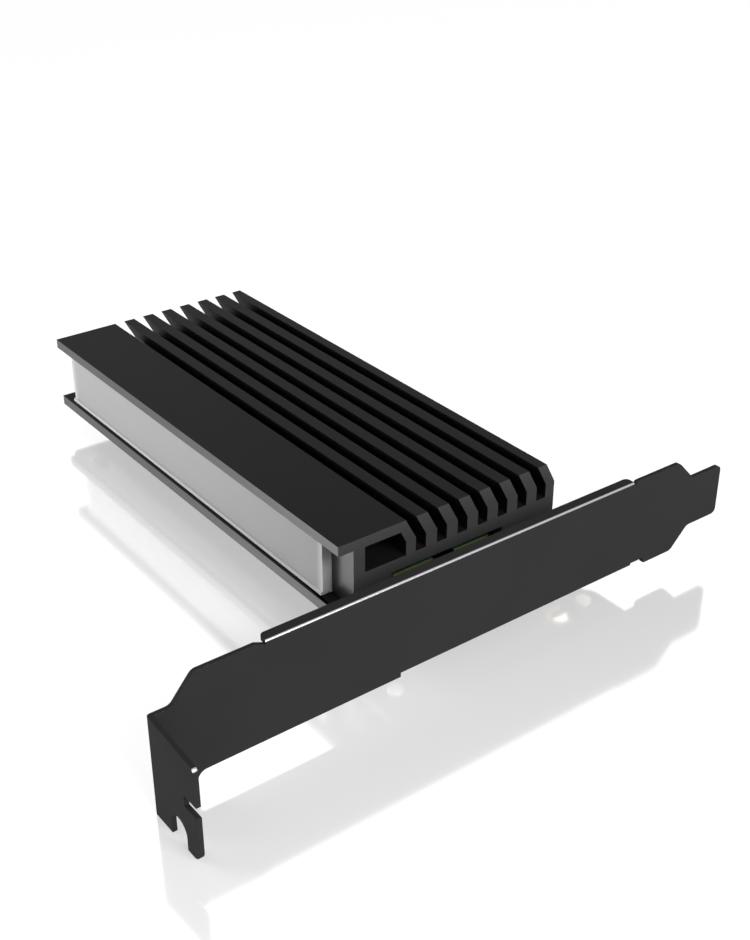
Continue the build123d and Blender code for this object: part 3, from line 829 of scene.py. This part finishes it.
@dataclass(frozen=True)
class PanScrew:
    """A threaded screw with a domed head and a cross recess."""

    name: str
    thread_radius_mm: float
    thread_pitch_mm: float
    head_radius_mm: float
    head_height_mm: float
    head_down: bool = False
    sides: int = 40
    dome_steps: int = 6
    smooth_angle: float = 35.0
    seat_rise_mm: float = 0.01
    # Shares of the thread's pitch.
    thread_depth: float = 0.55
    tip_length: float = 0.25
    crest_start: float = 0.45
    crest_end: float = 0.55
    root_start: float = 0.98
    bare_pitch: float = 0.5
    # Shares of the head's radius.
    seat_radius: float = 0.96
    rim_height: float = 0.04
    dome_narrowing: float = 0.42
    crown_radius: float = 0.3
    cross_reach: float = 1.12
    cross_width: float = 0.26
    # Shares of the head's height.
    dome_height: float = 0.62
    cross_floor: float = 0.3
    # Shares of the core's radius, of the dome's height and of the cross's width.
    tip_radius: float = 0.8
    dome_rise: float = 0.92
    cross_taper: float = 0.6

    def rings(self, length_mm: float) -> list[tuple[float, float]]:
        """List the screw's rings, from the tip of its thread to the middle of its head.

        Args:
            length_mm: From the thread's tip to the flat under the head.

        Returns:
            Radius and height of each ring above that flat, in metres.
        """
        pitch = self.thread_pitch_mm
        crest = self.thread_radius_mm
        core = crest - self.thread_depth * pitch
        head = self.head_radius_mm
        dome = self.dome_height * self.head_height_mm
        dome_foot = self.head_height_mm - dome
        found = [
            (core * self.tip_radius, -length_mm),
            (core, -length_mm + self.tip_length * pitch),
        ]
        for turn in range(int(length_mm / pitch - self.bare_pitch)):
            low = -length_mm + (self.tip_length + turn) * pitch
            found += [
                (crest, low + self.crest_start * pitch),
                (crest, low + self.crest_end * pitch),
                (core, low + self.root_start * pitch),
            ]
        found += [
            (core, 0.0),
            (head * self.seat_radius, self.seat_rise_mm),
            (head, self.rim_height * head),
            (head, dome_foot),
        ]
        for step in range(1, self.dome_steps + 1):
            angle = step / self.dome_steps * math.pi / 2
            radius = head * (1 - self.dome_narrowing * (1 - math.cos(angle)))
            found.append((radius, dome_foot + self.dome_rise * dome * math.sin(angle)))
        found.append((self.crown_radius * head, self.head_height_mm))
        return [(radius * MM, height * MM) for radius, height in found]

    def build(self, places: list[Vector], seat: float, tip: float) -> bpy.types.Object:
        """Model one screw, copy it to each place and join the copies.

        Args:
            places: A point on each screw's axis, in metres.
            seat: Height of the flat under the head, in metres.
            tip: Height of the thread's tip, in metres.

        Returns:
            The joined screws.
        """
        foot = Vector((places[0].x, places[0].y, 0))
        rings = self.rings(abs(seat - tip) * PER_METRE)
        screw = turn_profile(self.name, foot, rings, self.sides)
        cutter = self.cross_cutter(foot)
        settings = {"operation": "DIFFERENCE", "object": cutter, "solver": "EXACT"}
        apply_modifier(screw, "BOOLEAN", settings)
        bpy.data.objects.remove(cutter)
        activate(screw)
        bpy.ops.object.mode_set(mode="EDIT")
        bpy.ops.mesh.select_all(action="SELECT")
        if self.head_down:
            bpy.ops.transform.resize(value=(1, -1, -1), center_override=foot)
        bpy.ops.transform.translate(value=(0, 0, seat))
        bpy.ops.mesh.normals_make_consistent(inside=False)
        bpy.ops.object.mode_set(mode="OBJECT")
        bpy.ops.object.shade_smooth_by_angle(angle=math.radians(self.smooth_angle))
        copies = []
        for place in places[1:]:
            other = screw.copy()
            other.data = screw.data.copy()
            bpy.context.scene.collection.objects.link(other)
            activate(other)
            other.location = (place.x - foot.x, place.y - foot.y, 0)
            bpy.ops.object.transform_apply(location=True, rotation=True, scale=True)
            copies.append(other)
        activate(screw)
        for other in copies:
            other.select_set(True)
        if copies:
            bpy.ops.object.join()
        return screw

    def cross_cutter(self, foot: Vector) -> bpy.types.Object:
        """Make the tapered cross that the recess is cut with.

        Args:
            foot: The screw's axis at the flat under its head, in metres.

        Returns:
            The cutter, which stands out above the head.
        """
        reach = self.cross_reach * self.head_radius_mm * MM
        width = self.cross_width * self.head_radius_mm * MM
        height = self.head_height_mm * MM
        floor = foot + Vector((0, 0, self.cross_floor * height))
        taper = (self.cross_taper, self.cross_taper, 1)
        bars = []
        for size in ((reach, width, height), (width, reach, height)):
            bpy.ops.object.select_all(action="DESELECT")
            bpy.ops.mesh.primitive_cube_add(size=1, location=floor + Vector((0, 0, height / 2)))
            bar = bpy.context.active_object
            bar.scale = size
            bpy.ops.object.transform_apply(location=True, rotation=True, scale=True)
            bpy.ops.object.mode_set(mode="EDIT")
            bpy.ops.mesh.select_all(action="DESELECT")
            bpy.ops.object.mode_set(mode="OBJECT")
            for vertex in bar.data.vertices:
                vertex.select = vertex.co.z < floor.z + height / 2
            bpy.ops.object.mode_set(mode="EDIT")
            bpy.ops.transform.resize(value=taper, center_override=floor)
            bpy.ops.object.mode_set(mode="OBJECT")
            bars.append(bar)
        settings = {"operation": "UNION", "object": bars[1], "solver": "EXACT"}
        apply_modifier(bars[0], "BOOLEAN", settings)
        bpy.data.objects.remove(bars[1])
        return bars[0]


@dataclass
class HeatsinkGroup:
    """The finned section and its light bar."""

    edge_mm: float = 0.16
    bar_edge_mm: float = 0.12
    edge_angle: float = 25.0

    def build(self) -> None:
        """Round the section's and the bar's edges, and dress both."""
        section = merged_copy("heatsink", "finned_section")
        soften_edges(section, self.edge_mm, self.edge_angle)
        dress(section, AnodisedExtrusion().build())
        stand_in(section, "heatsink")
        bar = merged_copy("light_bar", "frosted_bar")
        soften_edges(bar, self.bar_edge_mm, self.edge_angle)
        low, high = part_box("light_bar")
        dress(bar, FrostedAcrylic().build(low, high))
        stand_in(bar, "light_bar")


@dataclass
class BracketGroup:
    """The folded slot bracket."""

    edge_mm: float = 0.12
    edge_angle: float = 40.0

    def build(self) -> None:
        """Round the sheet's cut edges and dress it."""
        sheet = merged_copy("bracket", "slot_bracket")
        soften_edges(sheet, self.edge_mm, self.edge_angle)
        dress(sheet, PowderCoat().build())
        stand_in(sheet, "bracket")


@dataclass
class BoardGroup:
    """The card's own board with its contacts, plated holes and parts."""

    socket_edge_mm: float = 0.2
    edge_angle: float = 30.0

    def build(self) -> None:
        """Dress the board and what is soldered to it."""
        mask = SolderMask(
            "Black solder mask on glass epoxy", "#0e0e10", "#17171a", "#4c484a", "#3a3638"
        )
        dress_node("main_board", mask.build())
        # Hard gold on nickel: a warm mirror, brushed the way the card slides.
        gold = PlatedMetal(
            "Hard gold over nickel",
            "#c79a3e",
            "#b0852f",
            roughness=0.24,
            grain_mm=0.35,
            stretch=(60, 0.35, 0.35),
        )
        gold_material = gold.build()
        for node in ("board_contacts_top", "board_contacts_bottom", "module_contacts"):
            dress_node(node, gold_material)
        # Immersion gold on copper: thinner and softer, without a grain.
        wash = PlatedMetal("Immersion gold over copper", "#b08a3c", "#9c7830", 0.34)
        dress_node("slot_platings", wash.build())
        field = PlatedMetal(
            "Immersion gold with heat vias", "#8f7234", "#7c622a", 0.36, hole_pitch_mm=4.5
        )
        dress_node("thermal_field", field.build())
        # Tin over stamped copper alloy: pale and a little milky.
        tin = PlatedMetal("Tinned copper alloy", "#c6c6c2", "#adada8", 0.3, 0.3, (0.3, 12, 0.3))
        dress_node("m2_socket_contacts", tin.build())
        diode = CappedChip("Light diode resin", "#ecece6", "#dedfd6", "#c4c4c0", Axis.LENGTH, 0.25)
        dress_node("light_leds", diode.build())
        ceramic = CappedChip(
            "Fired ceramic with tinned ends", "#7c6149", "#8b7056", "#c4c4c0", Axis.INSERTION
        )
        ceramic_material = ceramic.build()
        dress_node("coupling_capacitors", ceramic_material)
        dress_node("module_passives", ceramic_material)
        # Liquid crystal polymer flows into fine moulds: satin, with flow specks.
        polymer = MouldedPart("Black liquid crystal polymer", "#161618", "#262628", 0.46, specular=0.4)
        socket = merged_copy("m2_socket", "moulded_socket")
        soften_edges(socket, self.socket_edge_mm, self.edge_angle)
        dress(socket, polymer.build())
        stand_in(socket, "m2_socket")


@dataclass
class ModuleGroup:
    """The solid-state module between its two thermal pads."""

    pad_edge_mm: float = 0.3
    pad_bulge_mm: float = 0.14
    edge_angle: float = 30.0

    def build(self) -> None:
        """Dress the module's board and chips, and model its pads."""
        mask = SolderMask("Green solder mask on glass epoxy", "#086040", "#0b774c", "#8f8a5c", "#6c6a44")
        dress_node("module_board", mask.build())
        # Epoxy with silica in it: matte black with a few grey specks.
        compound = MouldedPart("Black moulding compound", "#1a1a1b", "#303032", 0.55, specular=0.35)
        compound_material = compound.build()
        for node in ("front_memory_chip", "cache_chip", "rear_memory_chip", "controller_chip"):
            dress_node(node, compound_material)
        # Filled silicone: soft, dull and chalky, with grains of filler.
        silicone = MouldedPart("Grey silicone pad", "#a4a4a5", "#8e8e90", 0.75, 0.5, 0.02, 0.3)
        silicone_material = silicone.build()
        for node in ("lower_thermal_pad", "upper_thermal_pad"):
            pad = self.pressed_pad(node)
            dress(pad, silicone_material)
            stand_in(pad, node)

    def pressed_pad(self, node: str) -> bpy.types.Object:
        """Model a soft pad whose sides bulge where it is pressed.

        Args:
            node: The CAD node that gives the pad's box.

        Returns:
            The pad.
        """
        low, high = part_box(node)
        middle = (low + high) / 2
        size = high - low
        bpy.ops.object.select_all(action="DESELECT")
        bpy.ops.mesh.primitive_cube_add(size=1, location=middle)
        pad = bpy.context.active_object
        pad.name = "pressed_" + node
        pad.scale = size
        bpy.ops.object.transform_apply(location=True, rotation=True, scale=True)
        bpy.ops.object.mode_set(mode="EDIT")
        bpy.ops.mesh.select_all(action="SELECT")
        bpy.ops.mesh.bisect(plane_co=middle, plane_no=(0, 0, 1))
        growth = 2 * self.pad_bulge_mm * MM
        share = (1 + growth / size.x, 1 + growth / size.y, 1)
        bpy.ops.transform.resize(value=share, center_override=middle)
        bpy.ops.object.mode_set(mode="OBJECT")
        soften_edges(pad, self.pad_edge_mm, self.edge_angle)
        return pad


@dataclass
class FastenerGroup:
    """Every screw of the card, and the standoff."""

    bracket_screw: PanScrew = PanScrew(
        "bracket_pan_screws",
        thread_radius_mm=1.45,
        thread_pitch_mm=0.5,
        head_radius_mm=2.8,
        head_height_mm=1.7,
    )
    heatsink_screw: PanScrew = PanScrew(
        "heatsink_pan_screws",
        thread_radius_mm=1.0,
        thread_pitch_mm=0.4,
        head_radius_mm=1.9,
        head_height_mm=1.3,
        head_down=True,
    )
    module_screw: PanScrew = PanScrew(
        "module_pan_screw",
        thread_radius_mm=0.95,
        thread_pitch_mm=0.4,
        head_radius_mm=2.27,
        head_height_mm=0.75,
    )
    black_head_share: float = 0.9

    def build(self) -> None:
        """Model the screws at the places of their CAD nodes, and dress them."""
        # Nickel over turned steel: a warm silver, with rings from the tool.
        turned = {"grain_mm": 0.25, "stretch": (4, 4, 0.4)}
        nickel = PlatedMetal("Nickel-plated steel", "#b9b8b3", "#a3a29d", 0.28, **turned).build()
        # Black oxide is a thin conversion skin: dark grey metal, oily in sheen.
        black = PlatedMetal("Black oxide on steel", "#2c2c2e", "#202022", 0.38, **turned).build()
        dress_node("m2_standoff", nickel)
        screw = self.bracket_screw
        low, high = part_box("bracket_screws")
        places = self.corners(low, high, screw.head_radius_mm)[:2]
        made = screw.build(places, high.z - screw.head_height_mm * MM, low.z)
        dress(made, nickel)
        stand_in(made, "bracket_screws")
        screw = self.heatsink_screw
        low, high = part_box("heatsink_screws")
        places = self.corners(low, high, screw.head_radius_mm)
        made = screw.build(places, low.z + screw.head_height_mm * MM, high.z)
        dress(made, black)
        stand_in(made, "heatsink_screws")
        # Only the head of this one is black, as in the photo.
        screw = self.module_screw
        low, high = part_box("m2_screw")
        made = screw.build([(low + high) / 2], high.z - screw.head_height_mm * MM, low.z)
        dress(made, black)
        made.data.materials.append(nickel)
        black_foot = high.z - self.black_head_share * screw.head_height_mm * MM
        for face in made.data.polygons:
            face.material_index = int(face.center.z < black_foot)
        stand_in(made, "m2_screw")

    def corners(self, low: Vector, high: Vector, inset_mm: float) -> list[Vector]:
        """List the corners of a box seen from above, moved inwards, the two front ones first.

        Args:
            low: The box's lowest corner, in metres.
            high: The box's highest corner, in metres.
            inset_mm: How far each corner moves in along both sides.

        Returns:
            The four points.
        """
        inset = inset_mm * MM
        sides = (low.x + inset, high.x - inset)
        return [Vector((x, y, 0)) for y in (low.y + inset, high.y - inset) for x in sides]


@dataclass(frozen=True)
class SoftLamp:
    """A flat soft lamp that looks at the card."""

    name: str
    place: tuple[float, float, float]
    size: tuple[float, float]
    power: float

    def hang(self) -> None:
        """Hang the lamp at its place, turned to a point near the card's middle."""
        light = bpy.data.lights.new(self.name, "AREA")
        light.shape = "RECTANGLE"
        light.size, light.size_y = self.size
        light.energy = self.power
        lamp = bpy.data.objects.new(self.name, light)
        bpy.context.scene.collection.objects.link(lamp)
        lamp.location = self.place
        aim = Vector(LAMP_TARGET) - lamp.location
        lamp.rotation_euler = aim.to_track_quat("-Z", "Y").to_euler()


@dataclass
class Studio:
    """The pale floor, the soft lamps and the white surroundings."""

    floor_height: float
    floor_radius: float = 4.0
    floor_corners: int = 96
    fade_start: float = 0.45
    fade_end: float = 0.9
    floor_colour: str = "#dcdcdc"
    floor_glow: float = 0.66
    mirror_low: float = 0.2
    mirror_high: float = 0.85
    mirror_blend: float = 0.35
    mirror_roughness: float = 0.1
    ambient: float = 0.22
    lamps: tuple[SoftLamp, ...] = (
        SoftLamp("front_lamp", (-0.15, -1.3, 0.25), (0.9, 0.4), 3.6),
        SoftLamp("high_lamp", (0.1, -1.1, 0.82), (0.8, 0.4), 12.5),
        SoftLamp("left_lamp", (-1.0, -0.1, 0.35), (0.5, 0.5), 0.7),
        SoftLamp("side_lamp", (-0.2, 0.09, 0.06), (0.12, 0.12), 0.22),
    )

    def build(self) -> None:
        """Lay the floor, hang the lamps and paint the surroundings."""
        self.lay_floor()
        for lamp in self.lamps:
            lamp.hang()
        self.paint_world()

    def lay_floor(self) -> None:
        """Lay a round white floor with a faint mirror, which the card's shadow falls on."""
        bpy.ops.object.select_all(action="DESELECT")
        bpy.ops.mesh.primitive_circle_add(
            vertices=self.floor_corners,
            radius=self.floor_radius,
            fill_type="NGON",
            location=(0, 0, self.floor_height),
        )
        floor = bpy.context.active_object
        floor.name = "studio_floor"
        bpy.ops.object.transform_apply(location=True, rotation=True, scale=True)
        material = bpy.data.materials.new("White studio floor")
        material.use_nodes = True
        graph = Graph(material.node_tree)
        matte = graph.add("ShaderNodeBsdfDiffuse", {}, {"Color": linear(self.floor_colour)})
        glow = graph.add("ShaderNodeEmission", {}, {"Strength": self.floor_glow})
        lit = graph.add("ShaderNodeAddShader", {}, {0: matte, 1: glow})
        ray = graph.add("ShaderNodeLightPath")
        seen = graph.add(
            "ShaderNodeMath",
            MAXIMUM,
            {0: ray.outputs["Is Camera Ray"], 1: ray.outputs["Is Glossy Ray"]},
        )
        body = graph.add("ShaderNodeMixShader", {}, {0: seen, 1: matte, 2: lit})
        gloss = {"Color": (1, 1, 1, 1), "Roughness": self.mirror_roughness}
        mirror = graph.add("ShaderNodeBsdfGlossy", {}, gloss)
        edge = graph.add("ShaderNodeLayerWeight", {}, {"Blend": self.mirror_blend})
        share = graph.add(
            "ShaderNodeMapRange",
            {},
            {"Value": edge.outputs["Facing"], "To Min": self.mirror_low, "To Max": self.mirror_high},
        )
        mixed = graph.add("ShaderNodeMixShader", {}, {0: share, 1: body, 2: mirror})
        # Away from the card the floor goes over into the white surroundings.
        place = graph.add("ShaderNodeTexCoord")
        reach = graph.add("ShaderNodeVectorMath", {"operation": "LENGTH"}, {0: place.outputs["Object"]})
        fade = {"From Min": self.fade_start, "From Max": self.fade_end}
        far = graph.add("ShaderNodeMapRange", {}, {"Value": reach.outputs["Value"], **fade})
        gone = graph.add("ShaderNodeMath", MULTIPLY, {0: far, 1: seen})
        white = graph.add("ShaderNodeEmission")
        faded = graph.add("ShaderNodeMixShader", {}, {0: gone, 1: mixed, 2: white})
        graph.add("ShaderNodeOutputMaterial", {}, {"Surface": faded})
        dress(floor, material)

    def paint_world(self) -> None:
        """Make the surroundings white where they are seen, and a plain even light elsewhere."""
        world = bpy.data.worlds.new("white_surroundings")
        bpy.context.scene.world = world
        world.use_nodes = True
        graph = Graph(world.node_tree)
        ray = graph.add("ShaderNodeLightPath")
        direct = graph.add(
            "ShaderNodeMath",
            MAXIMUM,
            {0: ray.outputs["Is Camera Ray"], 1: ray.outputs["Is Glossy Ray"]},
        )
        seen = graph.add("ShaderNodeMath", MAXIMUM, {0: direct, 1: ray.outputs["Is Transmission Ray"]})
        strength = graph.add("ShaderNodeMapRange", {}, {"Value": seen, "To Min": self.ambient})
        glow = graph.add("ShaderNodeBackground", {}, {"Color": (1, 1, 1, 1), "Strength": strength})
        graph.add("ShaderNodeOutputWorld", {}, {"Surface": glow})


@dataclass
class PhotoCamera:
    """The photograph's camera, solved from the card's standard sizes."""

    place: tuple[float, float, float] = (-0.1718, -0.19915, 0.138285)
    heading: float = -36.949
    dip: float = 29.553
    lens: float = 53.57
    sensor: float = 36.0
    shift: tuple[float, float] = (0.75 / PHOTO_HEIGHT, 3.9 / PHOTO_HEIGHT)
    near: float = 0.01

    def build(self) -> None:
        """Put the camera where the photograph was taken from."""
        data = bpy.data.cameras.new("photo_camera")
        data.lens = self.lens
        data.sensor_width = self.sensor
        data.shift_x, data.shift_y = self.shift
        data.clip_start = self.near
        camera = bpy.data.objects.new("photo_camera", data)
        bpy.context.scene.collection.objects.link(camera)
        camera.location = self.place
        camera.rotation_euler = (math.radians(90 - self.dip), 0, math.radians(self.heading))
        bpy.context.scene.camera = camera


def main() -> None:
    """Build every group of the card and the studio round it."""
    logging.basicConfig(level=logging.INFO, format="%(name)s: %(message)s")
    bpy.context.scene.view_settings.view_transform = "Standard"
    PhotoCamera().build()
    Studio(floor_height=cad_bounds[0][2]).build()
    for group in (BracketGroup(), BoardGroup(), ModuleGroup(), HeatsinkGroup(), FastenerGroup()):
        group.build()


if __name__ == "__main__":
    main()
